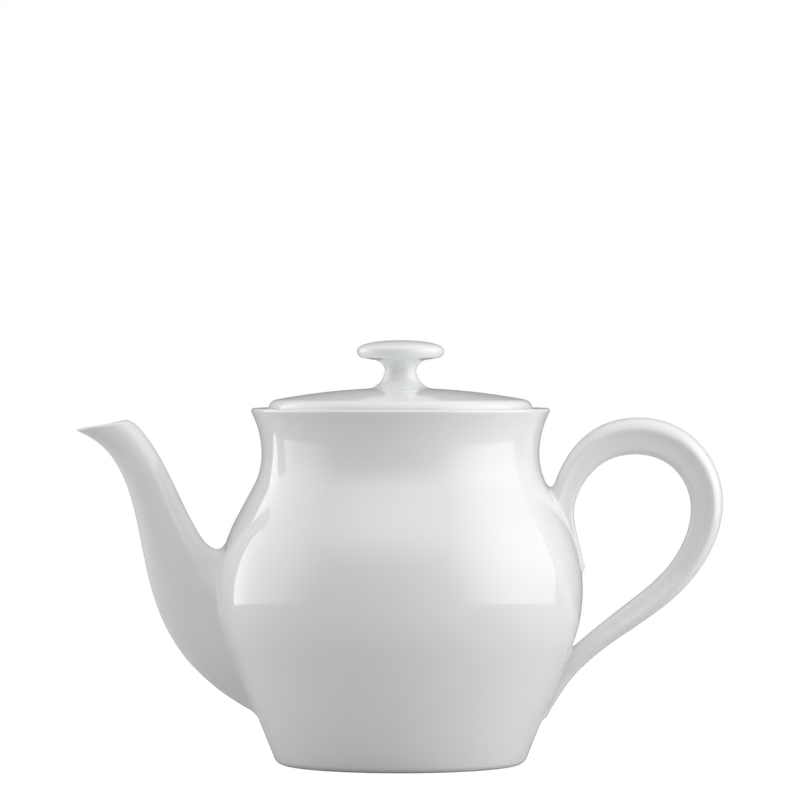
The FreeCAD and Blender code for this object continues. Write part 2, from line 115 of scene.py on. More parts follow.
def wall_outline(depth, base, corner_radius):
    """The pot's wall from its base corner to the flare, set in from the outside by a depth."""
    belly = BELLY_ARC - depth
    neck = NECK_ARC + depth
    taper_top = (belly_centre[0] + belly * math.cos(TAPER), belly_centre[1] - belly * math.sin(TAPER))
    corner_top = base + corner_radius * (1 - math.sin(TAPER))
    corner_side = taper_top[0] - (taper_top[1] - corner_top) * math.tan(TAPER)
    corner_centre = (corner_side - corner_radius * math.cos(TAPER), base + corner_radius)
    taper_angle = math.degrees(TAPER)
    shoulder_angle = math.degrees(shoulder_lean)
    heel = arc(corner_centre, corner_radius, -90, -taper_angle, 10)
    swell = arc(belly_centre, belly, -taper_angle, shoulder_angle, 40)
    waist = arc(neck_centre, neck, 180 + shoulder_angle, 180, 14)
    return heel + straight(heel[-1], swell[0], 16) + swell + straight(swell[-1], waist[0], 6) + waist


outside = wall_outline(0.0, 0.0, HEEL_RADIUS)
outside += arc(flare_centre, flare_arc, 180, 180 - flare_end, 14)[1:]
outside_heights = np.array([z for r, z in outside])
outside_radii = np.array([r for r, z in outside])
foot_outer = outside[0][0]
foot_inner = foot_outer - FOOT_RING
foot_corner = (foot_inner, 0.0)
recess_corner = (foot_inner - FOOT_DRAFT, FOOT_RECESS)
foot = eased(foot_corner, recess_corner, (foot_outer, 0.0), EDGE_ROUND)
recess = eased(recess_corner, (0.0, FOOT_RECESS), foot_corner, RECESS_ROUND)
base = [(r, FOOT_RECESS) for r in (0.0,) + FLAT_RINGS] + recess + foot
lip = arc(lip_centre, LIP_RADIUS, -flare_end, 90, 10)[1:]
seat_top = (SEAT_RADIUS + RIM_ROUND, RIM_HEIGHT - RIM_ROUND)
rim = lip + straight(lip[-1], (seat_top[0], RIM_HEIGHT), 3) + arc(seat_top, RIM_ROUND, 90, 180, 6)
seat_corner = (SEAT_RADIUS, SEAT_HEIGHT)
ledge_corner = (LEDGE_RADIUS, SEAT_HEIGHT)
ledge_foot = (LEDGE_RADIUS, LEDGE_BOTTOM)
seat = eased(seat_corner, (SEAT_RADIUS, RIM_HEIGHT), ledge_corner, EDGE_ROUND)
ledge = eased(ledge_corner, seat_corner, ledge_foot, EDGE_ROUND)
inner_flare = flare_arc + WALL
under_angle = math.degrees(math.asin((GALLERY_FOOT - NECK_HEIGHT) / inner_flare))
inside = wall_outline(WALL, FLOOR_HEIGHT, FLOOR_CORNER)
inside += arc(flare_centre, inner_flare, 180, 180 - under_angle, 8)[1:]
under = eased(ledge_foot, ledge_corner, inside[-1], EDGE_ROUND)
floor = [(r, FLOOR_HEIGHT) for r in FLAT_RINGS[::-1] + (0.0,)]
pot_outline = base + outside + rim + seat + ledge + under + inside[::-1] + floor


def turned(name, outline, steps=TURN_STEPS):
    """A mesh turned about the pot's axis; an outline that ends on the axis is closed there."""
    points = [p for i, p in enumerate(outline) if i == 0 or math.dist(p, outline[i - 1]) > SAME_POINT]
    verts, rings, faces = [], [], []
    for radius, height in points:
        if radius < ON_AXIS:
            rings.append([len(verts)] * steps)
            verts.append((0.0, 0.0, height * MM))
            continue
        rings.append(list(range(len(verts), len(verts) + steps)))
        for step in range(steps):
            angle = 2 * math.pi * step / steps
            verts.append((radius * MM * math.cos(angle), radius * MM * math.sin(angle), height * MM))
    pairs = list(zip(rings, rings[1:]))
    if points[0][0] > ON_AXIS:
        pairs.append((rings[-1], rings[0]))
    for low, high in pairs:
        for step in range(steps):
            after = (step + 1) % steps
            corners = (low[step], low[after], high[after], high[step])
            faces.append(tuple(dict.fromkeys(corners)))
    return mesh_piece(name, verts, faces)


def mesh_piece(name, verts, faces):
    """A smooth-shaded object from points in metres."""
    mesh = bpy.data.meshes.new(name)
    mesh.from_pydata([tuple(v) for v in verts], [], faces)
    mesh.validate()
    mesh.shade_smooth()
    piece = bpy.data.objects.new(name, mesh)
    bpy.context.scene.collection.objects.link(piece)
    return piece


def glazed_porcelain(name, white, ripple):
    """White porcelain under a clear glossy glaze that lies very slightly uneven."""
    material = bpy.data.materials.new(name)
    material.use_nodes = True
    nodes, links = material.node_tree.nodes, material.node_tree.links
    shader = nodes["Principled BSDF"]
    shader.inputs["IOR"].default_value = 1.52
    coords = nodes.new("ShaderNodeTexCoord")
    clouds = nodes.new("ShaderNodeTexNoise")
    clouds.inputs["Scale"].default_value = 28.0
    clouds.inputs["Detail"].default_value = 3.0
    tint = nodes.new("ShaderNodeValToRGB")
    tint.color_ramp.elements[0].position = 0.3
    tint.color_ramp.elements[1].position = 0.7
    tint.color_ramp.elements[0].color = tuple(c * 0.985 for c in white) + (1.0,)
    tint.color_ramp.elements[1].color = tuple(white) + (1.0,)
    gloss = nodes.new("ShaderNodeMapRange")
    gloss.inputs["To Min"].default_value = 0.04
    gloss.inputs["To Max"].default_value = 0.08
    wave = nodes.new("ShaderNodeTexNoise")
    wave.inputs["Scale"].default_value = 45.0
    wave.inputs["Detail"].default_value = 1.5
    bump = nodes.new("ShaderNodeBump")
    bump.inputs["Strength"].default_value = ripple
    bump.inputs["Distance"].default_value = 0.0004
    links.new(coords.outputs["Object"], clouds.inputs["Vector"])
    links.new(coords.outputs["Object"], wave.inputs["Vector"])
    links.new(clouds.outputs["Fac"], tint.inputs["Fac"])
    links.new(tint.outputs["Color"], shader.inputs["Base Color"])
    links.new(clouds.outputs["Fac"], gloss.inputs["Value"])
    links.new(gloss.outputs["Result"], shader.inputs["Roughness"])
    links.new(wave.outputs["Fac"], bump.inputs["Height"])
    links.new(bump.outputs["Normal"], shader.inputs["Normal"])
    return material


def bare_porcelain(name):
    """Fired porcelain wiped free of glaze: matt, a little warm and finely grained."""
    material = bpy.data.materials.new(name)
    material.use_nodes = True
    nodes, links = material.node_tree.nodes, material.node_tree.links
    shader = nodes["Principled BSDF"]
    shader.inputs["Roughness"].default_value = 0.75
    coords = nodes.new("ShaderNodeTexCoord")
    grain = nodes.new("ShaderNodeTexNoise")
    grain.inputs["Scale"].default_value = 1800.0
    grain.inputs["Detail"].default_value = 4.0
    tint = nodes.new("ShaderNodeValToRGB")
    tint.color_ramp.elements[0].color = (0.70, 0.69, 0.66, 1.0)
    tint.color_ramp.elements[1].color = (0.80, 0.79, 0.76, 1.0)
    bump = nodes.new("ShaderNodeBump")
    bump.inputs["Strength"].default_value = 0.25
    bump.inputs["Distance"].default_value = 0.0001
    links.new(coords.outputs["Object"], grain.inputs["Vector"])
    links.new(grain.outputs["Fac"], tint.inputs["Fac"])
    links.new(tint.outputs["Color"], shader.inputs["Base Color"])
    links.new(grain.outputs["Fac"], bump.inputs["Height"])
    links.new(bump.outputs["Normal"], shader.inputs["Normal"])
    return material


GLAZE_WHITE = (0.87, 0.88, 0.885)
GLAZE_RIPPLE = 0.03
glaze = glazed_porcelain("glazed_porcelain", GLAZE_WHITE, GLAZE_RIPPLE)
biscuit = bare_porcelain("bare_porcelain")


def finish_piece(piece, body, *nodes):
    """Glaze a piece, let it ride on its body and stand for its CAD nodes."""
    piece.data.materials.append(glaze)
    piece.data.materials.append(biscuit)
    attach(piece, body)
    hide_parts(*nodes)


def leave_bare(piece, low, high, inner, outer):
    """Leave the faces between two heights and two radii, in millimetres, without glaze."""
    for face in piece.data.polygons:
        radius = math.hypot(face.center.x, face.center.y) / MM
        if low < face.center.z / MM < high and inner < radius < outer:
            face.material_index = 1


pot = turned("pot_body_piece", pot_outline)

# The strainer and the notch: seventeen small holes pierced through the wall behind the spout, and
# a gap cut in the gallery through which the lid's tongue passes. Both are cut in the raw clay.
STRAINER_HEIGHT = 47.0
STRAINER_PITCH = 6.0
STRAINER_HOLE = 2.0
STRAINER_ROWS = 7
HOLE_SIDES = 24
DRILL_START = 30.0
DRILL_LENGTH = 50.0
FLANGE_RADIUS = 43.6
TONGUE_ANGLE = 18.0
NOTCH_GAP = 0.6
NOTCH_INNER = 43.0
NOTCH_RADIUS = 46.4
NOTCH_MARGIN = 1.0
NOTCH_CLEAR = 0.5
NOTCH_STEPS = 8
hole_angles = np.linspace(0, 2 * math.pi, HOLE_SIDES, endpoint=False)


def prism(ring, shift):
    """Points and faces of a closed prism: a ring of points and the same ring moved by a shift."""
    count = len(ring)
    verts = [Vector(p) for p in ring] + [Vector(p) + Vector(shift) for p in ring]
    faces = [tuple(range(count))[::-1], tuple(range(count, 2 * count))]
    faces += [(i, (i + 1) % count, (i + 1) % count + count, i + count) for i in range(count)]
    return verts, faces


def cut_away(piece, prisms):
    """Cut prisms, all in one go, out of a piece's mesh."""
    verts, faces = [], []
    for points, sides in prisms:
        faces += [tuple(i + len(verts) for i in side) for side in sides]
        verts += points
    cutter = mesh_piece("cutter", verts, faces)
    boolean = piece.modifiers.new("cut", "BOOLEAN")
    boolean.operation = "DIFFERENCE"
    boolean.solver = "EXACT"
    boolean.object = cutter
    bpy.context.view_layer.update()
    shaped = piece.evaluated_get(bpy.context.evaluated_depsgraph_get())
    result = bpy.data.meshes.new_from_object(shaped)
    piece.modifiers.clear()
    piece.data = result
    bpy.data.objects.remove(cutter)


holes = []
middle = STRAINER_ROWS // 2
for row in range(-middle, middle + 1):
    height = STRAINER_HEIGHT + row * STRAINER_PITCH * math.sqrt(3) / 2
    for shift in ((-1, 1) if row % 2 else (-2, 0, 2)):
        across = shift * STRAINER_PITCH / 2
        circle = []
        for a in hole_angles:
            side = across + STRAINER_HOLE * math.cos(a)
            rise = height + STRAINER_HOLE * math.sin(a)
            circle.append((-DRILL_START * MM, side * MM, rise * MM))
        holes.append(prism(circle, (-DRILL_LENGTH * MM, 0, 0)))
half_notch = math.radians(TONGUE_ANGLE / 2) + math.asin(NOTCH_GAP / FLANGE_RADIUS)
notch_low = GALLERY_FOOT - NOTCH_MARGIN
notch_height = SEAT_HEIGHT - notch_low + NOTCH_CLEAR
notch_ring = []
for radius, first in ((NOTCH_INNER, half_notch), (NOTCH_RADIUS, -half_notch)):
    for a in np.linspace(first, -first, NOTCH_STEPS + 1):
        notch_ring.append((radius * MM * math.cos(a), radius * MM * math.sin(a), notch_low * MM))
notch = prism(notch_ring, (0, 0, notch_height * MM))
cut_away(pot, holes + [notch])
finish_piece(pot, "pot", "pot_body")
leave_bare(pot, -BARE_BAND, BARE_FOOT_RISE, foot_inner - BARE_FOOT_IN, foot_outer + BARE_FOOT_OUT)
leave_bare(pot, SEAT_HEIGHT - BARE_BAND, SEAT_HEIGHT + BARE_BAND, LEDGE_RADIUS, SEAT_RADIUS)

# The spout: a hollow S-curve cast on its own and luted to the pot, where the slip is smoothed to a
# soft hollow all round the joint. Its mouth is cut on a slant and its lip is rounded by the glaze.
SPOUT_CONTROLS = np.array([(-29.5, 45.5), (-100.0, 43.0), (-72.0, 110.0), (-114.5, 127.0)])
SPOUT_ROOT = (36.5, 19.0)
SPOUT_TIP = 7.0
SPOUT_WALL = 2.6
MOUTH_POINT = (-114.5, 120.4)
MOUTH_TILT = math.radians(14.0)
LIP_EASE = 1.5
LIP_EASE_BACK = 4.5
BEAK_LENGTH = 14.0
BEAK_SHIFT = np.array([-1.7, 0.0, 0.25])
SPOUT_SIDES = 72
SPOUT_SAMPLES = 240
SPOUT_RINGS = 90
JOINT_RINGS = 12
LIP_STEPS = 9
SPOUT_JOINT = 3.2
SPOUT_JOINT_TOP = 9.0
SINK = 0.06
PROBE = 0.05


def wall_radius(height):
    """The pot's outside radius at a height, in millimetres."""
    return np.interp(height, outside_heights, outside_radii)


def clear_of_wall(points):
    """How far points stand off the pot's outside, in millimetres; negative is inside."""
    points = np.asarray(points)
    return np.hypot(points[..., 0], points[..., 1]) - wall_radius(points[..., 2])


def onto_wall(point, sink=0.0):
    """A point moved in or out to the pot's outside, or just under it."""
    radius = wall_radius(point[2]) - sink
    scale = radius / math.hypot(point[0], point[1])
    return np.array([point[0] * scale, point[1] * scale, point[2]])


def wall_normal(point):
    """The direction in which the pot's outside faces at a point."""
    slope = (wall_radius(point[2] + PROBE) - wall_radius(point[2] - PROBE)) / (2 * PROBE)
    flat = np.array([point[0], point[1], 0.0]) / math.hypot(point[0], point[1])
    normal = np.array([flat[0], flat[1], -slope])
    return normal / np.linalg.norm(normal)


def lengths(line):
    """How far along a line each of its points is."""
    return np.concatenate([[0], np.cumsum(np.linalg.norm(np.diff(line, axis=0), axis=1))])


def evenly(line, count):
    """A line of points spread evenly along its length."""
    steps = lengths(line)
    places = np.linspace(0, steps[-1], count)
    return np.stack([np.interp(places, steps, line[:, axis]) for axis in range(3)], axis=1)


def luted_line(line, away, count, joint, joint_steps):
    """A line that runs down to the pot and spreads onto it in a smooth hollow."""
    off = clear_of_wall(line)
    last = int(np.argmax(off < 0))
    share = off[last - 1] / (off[last - 1] - off[last])
    meet = line[last - 1] * (1 - share) + line[last] * share
    free = np.vstack([line[:last], meet])
    from_meet = np.linalg.norm(np.diff(free, axis=0), axis=1)[::-1].cumsum()[::-1]
    from_meet = np.append(from_meet, 0.0)
    reach = min(joint, from_meet[0] * 0.5)
    begin = np.array([np.interp(reach, from_meet[::-1], free[::-1, axis]) for axis in range(3)])
    normal = wall_normal(meet)
    aside = away - normal * away.dot(normal)
    aside /= np.linalg.norm(aside)
    end = onto_wall(meet + aside * reach, SINK)
    kept = np.vstack([free[from_meet > reach], begin])
    shares = np.linspace(0, 1, joint_steps + 1)[1:, None]
    hollow = (1 - shares) ** 2 * begin + 2 * shares * (1 - shares) * meet + shares ** 2 * end
    return np.vstack([evenly(kept, count), hollow])


def spout_lines(thinner):
    """Lines along the spout from past its mouth to inside the pot, one for each side."""
    along = np.linspace(1.0, 0.0, SPOUT_SAMPLES)[:, None]
    back = 1 - along
    weights = np.hstack([back ** 3, 3 * back ** 2 * along, 3 * back * along ** 2, along ** 3])
    slopes = np.hstack([-3 * back ** 2, 3 * back ** 2 - 6 * back * along,
                        6 * back * along - 3 * along ** 2, 3 * along ** 2])
    centre = weights @ SPOUT_CONTROLS
    heading = slopes @ SPOUT_CONTROLS
    heading /= np.linalg.norm(heading, axis=1)[:, None]
    across = np.stack([-heading[:, 1], heading[:, 0]], axis=1)
    high = SPOUT_TIP + back[:, 0] ** 3 * (SPOUT_ROOT[0] - SPOUT_TIP) - thinner
    wide = SPOUT_TIP + back[:, 0] ** 3 * (SPOUT_ROOT[1] - SPOUT_TIP) - thinner
    lines, faces_out = [], []
    for side in range(SPOUT_SIDES):
        angle = 2 * math.pi * side / SPOUT_SIDES
        shift = high * math.cos(angle)
        lines.append(np.stack([centre[:, 0] + across[:, 0] * shift, wide * math.sin(angle),
                               centre[:, 1] + across[:, 1] * shift], axis=1))
        faces_out.append(np.stack([across[:, 0] * math.cos(angle), np.full(len(wide), math.sin(angle)),
                                   across[:, 1] * math.cos(angle)], axis=1))
    return lines, faces_out


def trimmed(line):
    """A spout line from its point on the slanted mouth on."""
    over = (line[:, 2] - MOUTH_POINT[1]) - math.tan(MOUTH_TILT) * (line[:, 0] - MOUTH_POINT[0])
    first = int(np.argmax(over < 0))
    if first == 0:
        return line
    share = over[first - 1] / (over[first - 1] - over[first])
    return np.vstack([line[first - 1] * (1 - share) + line[first] * share, line[first:]])


def beaked(line, under):
    """A line drawn forward at the mouth, the more the further it lies under the spout."""
    share = np.clip(1 - lengths(line) / BEAK_LENGTH, 0, 1) ** 2 * under
    return line + share[:, None] * BEAK_SHIFT


def shortened(line, length):
    """A line with a length taken off its beginning."""
    steps = lengths(line)
    start = np.array([np.interp(length, steps, line[:, axis]) for axis in range(3)])
    return np.vstack([start, line[steps > length]])


def loft(name, rows, caps=False):
    """A mesh through rings of points in millimetres, closed round and, if asked, end to end."""
    count = len(rows[0])
    verts = [tuple(np.array(p) * MM) for row in rows for p in row]
    faces = []
    pairs = [(i, i + 1) for i in range(len(rows) - 1)]
    if not caps:
        pairs.append((len(rows) - 1, 0))
    for low, high in pairs:
        for side in range(count):
            after = (side + 1) % count
            faces.append((low * count + side, high * count + side, high * count + after, low * count + after))
    if caps:
        for row in (0, len(rows) - 1):
            hub = len(verts)
            verts.append(tuple(np.mean(rows[row], axis=0) * MM))
            for side in range(count):
                corners = (row * count + side, row * count + (side + 1) % count, hub)
                faces.append(corners if row == 0 else corners[::-1])
    return mesh_piece(name, verts, faces)


outer_lines, outer_away = spout_lines(0.0)
bore_lines = spout_lines(SPOUT_WALL)[0]
spout_columns = []
for side, (outer, bore, away) in enumerate(zip(outer_lines, bore_lines, outer_away)):
    downward = math.cos(2 * math.pi * side / SPOUT_SIDES)
    above = max(-downward, 0.0) ** 2
    outer = beaked(trimmed(outer), max(downward, 0.0))
    bore = beaked(trimmed(bore), max(downward, 0.0))
    tip, inner_tip = outer[0], bore[0]
    outer = shortened(outer, LIP_EASE + above * (LIP_EASE_BACK - LIP_EASE))
    bore = shortened(bore, LIP_EASE)
    entry = int(np.argmax(clear_of_wall(outer) < 0)) - len(outer)
    joint = SPOUT_JOINT + above * (SPOUT_JOINT_TOP - SPOUT_JOINT)
    skin = luted_line(outer, away[entry], SPOUT_RINGS, joint, JOINT_RINGS)
    root = int(np.argmax(clear_of_wall(bore) < -0.5 * SINK))
    throat = evenly(bore[:root + 1], SPOUT_RINGS // 2)
    throat[-1] = onto_wall(throat[-1], SINK)
    shares = np.linspace(0, 1, LIP_STEPS + 1)[1:-1, None]
    rounded = ((1 - shares) ** 3 * bore[0] + 3 * shares * (1 - shares) ** 2 * inner_tip
               + 3 * shares ** 2 * (1 - shares) * tip + shares ** 3 * outer[0])
    spout_columns.append(np.vstack([throat[::-1], rounded, skin]))
spout = loft("spout_piece", np.array(spout_columns).transpose(1, 0, 2))
finish_piece(spout, "pot", "spout")

# The handle: a solid ear-shaped bar, pressed with a round back, a soft ridge along each side and
# flanks that hollow in towards a narrow inner edge. Both its ends run down the pot as thin leaves.
# Each point of its path gives the place along X and Z, the half thickness and the half width.
HANDLE_POINTS = np.array([
    (64.5, 71.0, 1.9, 2.2), (58.0, 82.0, 5.8, 5.2), (55.5, 93.5, 3.4, 6.6), (69.5, 119.0, 6.6, 6.8),
    (100.0, 119.0, 6.9, 7.0), (114.5, 95.0, 5.9, 6.8), (103.5, 68.5, 4.7, 6.4), (84.0, 54.0, 4.6, 6.0),
    (61.5, 38.0, 3.1, 5.6), (51.0, 24.5, 5.3, 4.6), (50.5, 19.0, 3.2, 2.2)])
HANDLE_SIDES = 96
HANDLE_STEP = 3
HANDLE_LEAD = 48
END_RINGS = 40
HANDLE_JOINT = 2.2
HANDLE_JOINT_TOP = 5.5
LEAF_DIVE = 6.0
LEAF_SLIDE = 1.6
LEAF_STEPS = 15
LEAF_LOOK = 4
PATH_SAMPLES = 700
RIDGE = 0.28
INNER_EDGE = (-0.72, 0.60)
FLANK_HOLLOW = 0.09
FLANK_LEAN = 0.6
RIDGE_SOFTNESS = 6.8
RIDGE_REACH = 24
BACK_SAMPLES = 60
FLANK_SAMPLES = 40
SECTION_FINENESS = 4


def spline_weights(count, along):
    """How much each control point of a clamped cubic counts at places along it."""
    spans = count - 3
    knots = np.concatenate([[0.0] * 3, np.arange(spans + 1.0), [float(spans)] * 3])
    weights = [((along >= a) & (along < b)).astype(float) for a, b in zip(knots, knots[1:])]
    weights[count - 1] = np.where(along >= spans, 1.0, weights[count - 1])
    for degree in (1, 2, 3):
        raised = []
        for i in range(len(weights) - 1):
            rise = knots[i + degree] - knots[i]
            fall = knots[i + degree + 1] - knots[i + 1]
            total = np.zeros_like(along)
            if rise:
                total = total + (along - knots[i]) / rise * weights[i]
            if fall:
                total = total + (knots[i + degree + 1] - along) / fall * weights[i + 1]
            raised.append(total)
        weights = raised
    return np.stack(weights, axis=1)


def handle_section():
    """The handle's section in shares of its half thickness (outwards) and half width."""
    back_angles = np.linspace(-math.pi / 2, math.pi / 2, BACK_SAMPLES)
    back = [(RIDGE + (1 - RIDGE) * math.cos(a), math.sin(a)) for a in back_angles]
    flank = []
    for s in np.linspace(0, 1, FLANK_SAMPLES)[1:]:
        hollow = FLANK_HOLLOW * math.sin(math.pi * s ** FLANK_LEAN)
        flank.append((RIDGE + (INNER_EDGE[0] - RIDGE) * s, 1 + (INNER_EDGE[1] - 1) * s - hollow))
    depth = 1 + INNER_EDGE[0]
    inner_angles = np.linspace(0, math.pi, FLANK_SAMPLES)[1:-1]
    inner = [(INNER_EDGE[0] - depth * math.sin(a), INNER_EDGE[1] * math.cos(a)) for a in inner_angles]
    ring = np.array(back + flank + inner + [(u, -v) for u, v in flank[::-1]])
    closed = np.vstack([ring, ring[:1]])
    steps = lengths(closed)
    dense = np.linspace(0, steps[-1], HANDLE_SIDES * SECTION_FINENESS, endpoint=False)
    even = np.stack([np.interp(dense, steps, closed[:, axis]) for axis in range(2)], axis=1)
    reach = np.arange(-RIDGE_REACH, RIDGE_REACH + 1)
    kernel = np.exp(-0.5 * (reach / RIDGE_SOFTNESS) ** 2)
    kernel /= kernel.sum()
    soft = sum(weight * np.roll(even, shift, axis=0) for weight, shift in zip(kernel, reach))
    return soft[::SECTION_FINENESS]


spans = len(HANDLE_POINTS) - 3
along = np.linspace(0, spans, PATH_SAMPLES)
path = spline_weights(len(HANDLE_POINTS), along) @ HANDLE_POINTS
ends = []
for end, before in ((path[0], path[LEAF_LOOK]), (path[-1], path[-1 - LEAF_LOOK])):
    onward = (end - before)[:2]
    onward /= np.linalg.norm(onward)
    inward = -wall_normal(np.array([end[0], 0.0, end[1]]))[[0, 2]]
    dive = []
    for angle in np.linspace(0, 1, LEAF_STEPS + 1)[1:] * math.pi / 2:
        place = end[:2] + onward * LEAF_SLIDE * math.sin(angle) + inward * LEAF_DIVE * (1 - math.cos(angle))
        dive.append(np.concatenate([place, end[2:]]))
    ends.append(np.array(dive))
path = np.vstack([ends[0][::-1], path, ends[1]])
heading = np.gradient(path[:, :2], axis=0)
heading /= np.linalg.norm(heading, axis=1)[:, None]
outward = np.stack([-heading[:, 1], heading[:, 0]], axis=1)
section = handle_section()
middle_row = len(path) // 2
handle_lines = []
handle_facings = []
for u, v in section:
    handle_lines.append(np.stack([path[:, 0] + outward[:, 0] * path[:, 2] * u, path[:, 3] * v,
                                  path[:, 1] + outward[:, 1] * path[:, 2] * u], axis=1))
    handle_facings.append(np.stack([outward[:, 0] * u, np.full(len(path), v), outward[:, 1] * u], axis=1))
lower_way = slice(middle_row, None)
upper_way = slice(middle_row, None, -1)
halves = []
for way, widest_joint in ((lower_way, HANDLE_JOINT), (upper_way, HANDLE_JOINT_TOP)):
    entries = [int(np.argmax(clear_of_wall(line[way]) < 0)) for line in handle_lines]
    square_rows = min(entries) - HANDLE_LEAD
    half = []
    for (u, v), line, facing, entry in zip(section, handle_lines, handle_facings, entries):
        joint = HANDLE_JOINT + max(u, 0.0) ** 2 * (widest_joint - HANDLE_JOINT)
        end = luted_line(line[way][square_rows:], facing[way][entry], END_RINGS, joint, JOINT_RINGS)
        half.append(np.vstack([line[way][:square_rows:HANDLE_STEP], end]))
    halves.append(np.array(half))
handle_columns = np.concatenate([halves[1][:, ::-1], halves[0][:, 1:]], axis=1)
handle = loft("handle_piece", handle_columns.transpose(1, 0, 2), caps=True)
finish_piece(handle, "pot", "handle")

# The lid: a shallow cast dome that lies inside the rim on the gallery, with a steam vent on the
# handle side. Its top is glazed, and its rim is wiped bare below where it touches the pot.
LID_RADIUS = 47.6
CROWN_HEIGHT = 135.3
DOME_RADIUS = 241.0
LID_EDGE = 3.6
LID_WALL = 3.4
HOLLOW_RADIUS = 40.4
VENT_RADIUS = 1.6
VENT_OFFSET = 24.0
VENT_START = 120.0
VENT_LENGTH = 30.0
dome_centre = (0.0, CROWN_HEIGHT - DOME_RADIUS)
edge_run = LID_RADIUS - LID_EDGE
edge_climb = math.sqrt((DOME_RADIUS - LID_EDGE) ** 2 - edge_run ** 2)
edge_centre = (edge_run, dome_centre[1] + edge_climb)
edge_angle = math.degrees(math.atan2(edge_climb, edge_run))
inner_dome = DOME_RADIUS - LID_WALL
hollow_angle = math.degrees(math.acos(HOLLOW_RADIUS / inner_dome))
hollow = arc(dome_centre, inner_dome, 90, hollow_angle, 14)
hollow_low = (HOLLOW_RADIUS, SEAT_HEIGHT)
lid_low = (LID_RADIUS, SEAT_HEIGHT)
lid_outline = hollow[:-1]
lid_outline += eased(hollow[-1], hollow[-2], hollow_low, EDGE_ROUND)
lid_outline += [hollow_low]
lid_outline += eased(lid_low, hollow_low, edge_centre, EDGE_ROUND)
lid_outline += arc(edge_centre, LID_EDGE, 0, edge_angle, 10)
lid_outline += arc(dome_centre, DOME_RADIUS, edge_angle, 90, 30)[1:]
lid = turned("lid_cover_piece", lid_outline)
vent = [((VENT_OFFSET + VENT_RADIUS * math.cos(a)) * MM, VENT_RADIUS * math.sin(a) * MM, VENT_START * MM)
        for a in hole_angles]
cut_away(lid, [prism(vent, (0, 0, VENT_LENGTH * MM))])
finish_piece(lid, "lid", "lid_cover")
leave_bare(lid, SEAT_HEIGHT - BARE_BAND, SEAT_HEIGHT + BARE_BAND, HOLLOW_RADIUS, LID_RADIUS)

# The ring and the tongue: a deep ring luted under the lid keeps it centred in the mouth, and a lug
# on the ring hooks under the gallery once the lid is turned, so that it stays on while pouring.
FLANGE_BOTTOM = 113.2
FLANGE_ROUND = 1.4
TONGUE_TIP = 45.8
TONGUE_TOP = 120.6
TONGUE_BOTTOM = 116.6
TONGUE_SLOPE = 1.0
TONGUE_ROUND = 0.8
TONGUE_SINK = 0.3
TONGUE_SQUARENESS = 8
TONGUE_RINGS = 25
inner_low = (HOLLOW_RADIUS, FLANGE_BOTTOM)
outer_low = (FLANGE_RADIUS, FLANGE_BOTTOM)
outer_high = (FLANGE_RADIUS, SEAT_HEIGHT)
ring_outline = [hollow_low]
ring_outline += straight(hollow_low, inner_low, 4)
ring_outline += eased(inner_low, hollow_low, outer_low, FLANGE_ROUND)
ring_outline += eased(outer_low, inner_low, outer_high, FLANGE_ROUND)
ring_outline += straight(outer_low, outer_high, 4)
ring_outline += [outer_high]
ring = turned("lid_flange_piece", ring_outline)
finish_piece(ring, "lid", "lid_flange")

tongue_root = FLANGE_RADIUS - TONGUE_SINK
low_corner = (TONGUE_TIP, TONGUE_BOTTOM + TONGUE_SLOPE)
high_corner = (TONGUE_TIP, TONGUE_TOP)
lug_low = (tongue_root, TONGUE_BOTTOM)
lug_high = (tongue_root, TONGUE_TOP)
lug = [lug_low]
lug += eased(low_corner, lug_low, high_corner, TONGUE_ROUND)
lug += eased(high_corner, low_corner, lug_high, TONGUE_ROUND)
lug += [lug_high]
lug_rows = []
for share in np.linspace(-1, 1, TONGUE_RINGS):
    angle = math.radians(TONGUE_ANGLE / 2) * share
    fade = math.sqrt(max(1 - abs(share) ** TONGUE_SQUARENESS, 0.0))
    row = []
    for r, z in lug:
        reach = tongue_root + (r - tongue_root) * fade
        row.append((reach * math.cos(angle), reach * math.sin(angle), z))
    lug_rows.append(row)
tongue = loft("lid_tongue_piece", lug_rows, caps=True)
finish_piece(tongue, "lid", "lid_tongue")

# The knob: a spool, a disc with a round edge and a full, gently arched top on a waisted stem whose
# foot spreads onto the dome. It is cast solid, luted to the crown of the lid and glazed with it.
KNOB_FOOT = 12.6
STEM_RADIUS = 5.6
STEM_HEIGHT = 141.0
KNOB_RADIUS = 15.7
KNOB_EDGE = 2.6
KNOB_TOP = 152.4
KNOB_RISE = 3.8
KNOB_FULLNESS = 0.89
KNOB_SLOPE = 0.6
KNOB_SINK = 1.0
KNOB_STEPS = 128
STEM_FOOT = [(KNOB_FOOT, 134.94), (10.2, 135.35), (8.35, 136.45), (6.75, 138.1)]
knob_middle = KNOB_TOP - KNOB_RISE
cap_arc = knob_middle - KNOB_EDGE - KNOB_SLOPE - STEM_HEIGHT


def curve_through(points, steps):
    """A smooth line that passes through each of a few points."""
    ends = [2 * np.array(points[0]) - points[1]] + [np.array(p) for p in points]
    ends += [2 * np.array(points[-1]) - points[-2]]
    line = []
    for before, first, last, after in zip(ends, ends[1:], ends[2:], ends[3:]):
        for s in np.linspace(0, 1, steps, endpoint=False):
            line.append(tuple(0.5 * (2 * first + (last - before) * s
                                     + (2 * before - 5 * first + 4 * last - after) * s ** 2
                                     + (3 * first - before - 3 * last + after) * s ** 3)))
    return line + [tuple(points[-1])]


